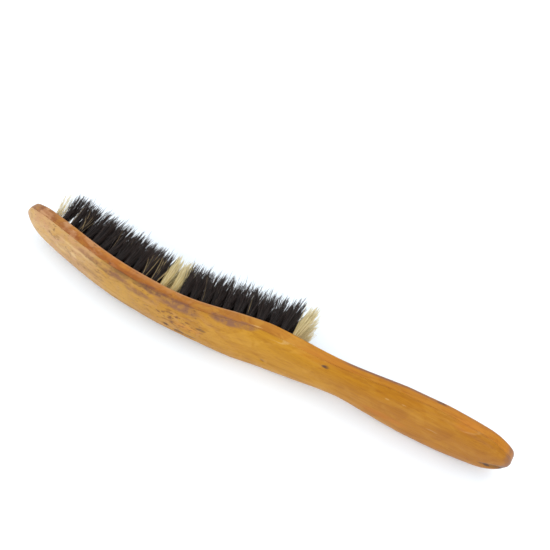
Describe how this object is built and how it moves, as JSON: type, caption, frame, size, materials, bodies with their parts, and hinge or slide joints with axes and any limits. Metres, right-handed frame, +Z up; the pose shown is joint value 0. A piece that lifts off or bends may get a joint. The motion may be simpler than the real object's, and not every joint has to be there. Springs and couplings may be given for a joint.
{
  "type": "clothes brush",
  "caption": "Long-handled clothes brush with a curved two-layer wooden body, rows of drawn dark and cream bristle tufts, and hidden draw wires.",
  "frame": {"origin": "centre of the footprint on the surface that the brush lies on, on its side edge", "axes": "+X from the head towards the end of the handle, +Y the way the bristles point, +Z up across the brush's width"},
  "size_m": [0.3016, 0.041, 0.03],
  "materials": {
    "stock_wood": "satin",
    "cover_wood": "satin",
    "draw_wire": "satin",
    "black_bristle": "satin",
    "white_bristle": "satin"
  },
  "bodies": {
    "root": {"bristle_stock": "stock_wood", "back_cover": "cover_wood", "draw_wire_01": "draw_wire", "draw_wire_02": "draw_wire", "draw_wire_03": "draw_wire", "draw_wire_04": "draw_wire", "tuft_row_01": "white_bristle", "tuft_row_02": "black_bristle", "tuft_row_03": "black_bristle", "tuft_row_04": "black_bristle", "tuft_row_05": "black_bristle", "tuft_row_06": "black_bristle", "tuft_row_07": "black_bristle", "tuft_row_08": "black_bristle", "tuft_row_09": "black_bristle", "tuft_row_10": "black_bristle", "tuft_row_11": "black_bristle", "tuft_row_12": "black_bristle", "tuft_row_13": "black_bristle", "tuft_row_14": "white_bristle", "tuft_row_15": "white_bristle", "tuft_row_16": "black_bristle", "tuft_row_17": "black_bristle", "tuft_row_18": "black_bristle", "tuft_row_19": "black_bristle", "tuft_row_20": "black_bristle", "tuft_row_21": "black_bristle", "tuft_row_22": "black_bristle", "tuft_row_23": "black_bristle", "tuft_row_24": "black_bristle", "tuft_row_25": "black_bristle", "tuft_row_26": "white_bristle"}
  },
  "joints": []
}
